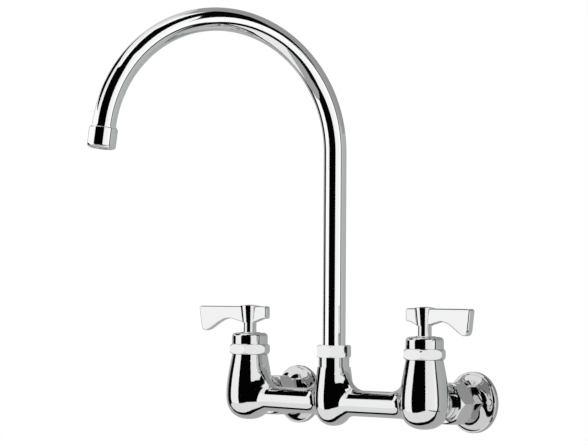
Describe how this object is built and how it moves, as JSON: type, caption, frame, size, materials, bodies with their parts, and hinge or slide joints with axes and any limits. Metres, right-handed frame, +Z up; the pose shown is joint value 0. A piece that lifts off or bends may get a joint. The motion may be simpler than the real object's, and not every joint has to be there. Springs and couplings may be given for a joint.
{
  "type": "wall faucet",
  "caption": "Wall-mounted commercial kitchen faucet in polished chrome, with lever handles on ceramic valves and a swivelling high gooseneck spout with an aerator.",
  "frame": {"origin": "midway between the two inlet axes, on the wall plane", "axes": "+Y goes into the wall along the inlet axes, +Z is up, +X runs right along the wall as seen by the user"},
  "size_m": [0.3148, 0.2829, 0.3552],
  "materials": {
    "chrome": "polished chrome plate over brass",
    "brass": "machined brass, unplated",
    "ceramic": "lapped alumina",
    "rubber": "moulded nitrile rubber",
    "fibre": "pressed red sealing fibre",
    "steel": "stainless steel",
    "nylon": "natural nylon",
    "outlet_plastic": "moulded grey plastic",
    "hot_button": "gloss red index button",
    "cold_button": "gloss blue index button"
  },
  "bodies": {
    "faucet_body": {"mixing_body": "chrome", "left_seat_seal": "rubber", "left_fixed_disc": "ceramic", "left_cartridge_housing": "brass", "left_cartridge_seal_ring": "rubber", "left_bonnet_gasket": "fibre", "left_bonnet": "chrome", "left_coupling_nut": "chrome", "left_snap_ring": "steel", "left_inlet_washer": "rubber", "left_inlet_flange": "chrome", "right_seat_seal": "rubber", "right_fixed_disc": "ceramic", "right_cartridge_housing": "brass", "right_cartridge_seal_ring": "rubber", "right_bonnet_gasket": "fibre", "right_bonnet": "chrome", "right_coupling_nut": "chrome", "right_snap_ring": "steel", "right_inlet_washer": "rubber", "right_inlet_flange": "chrome", "adapter_gasket": "fibre", "spout_adapter": "chrome", "lower_swivel_washer": "nylon", "upper_swivel_washer": "nylon", "spout_nut": "chrome"},
    "left_handle": {"left_moving_disc": "ceramic", "left_valve_stem": "chrome", "left_stem_seal_ring": "rubber", "left_lever": "chrome", "left_lever_screw": "steel", "left_index_button": "hot_button"},
    "right_handle": {"right_moving_disc": "ceramic", "right_valve_stem": "chrome", "right_stem_seal_ring": "rubber", "right_lever": "chrome", "right_lever_screw": "steel", "right_index_button": "cold_button"},
    "spout": {"spout_shank": "brass", "spout_seal_rings": "rubber", "gooseneck_tube": "chrome", "spout_tip": "chrome", "aerator_housing": "chrome", "aerator_washer": "rubber", "aerator_screen": "steel", "aerator_insert": "outlet_plastic"}
  },
  "joints": [
    {"name": "left_handle_turn", "type": "hinge", "parent": "faucet_body", "child": "left_handle", "pos_m": [-0.1016, -0.065, 0.065], "axis": [0, 0, 1], "range_deg": [0, 90]},
    {"name": "right_handle_turn", "type": "hinge", "parent": "faucet_body", "child": "right_handle", "pos_m": [0.1016, -0.065, 0.065], "axis": [0, 0, 1], "range_deg": [-90, 0]},
    {"name": "spout_swivel", "type": "hinge", "parent": "faucet_body", "child": "spout", "pos_m": [0, -0.065, 0.04], "axis": [0, 0, 1], "range_deg": [-81.8, 118.2]}
  ]
}
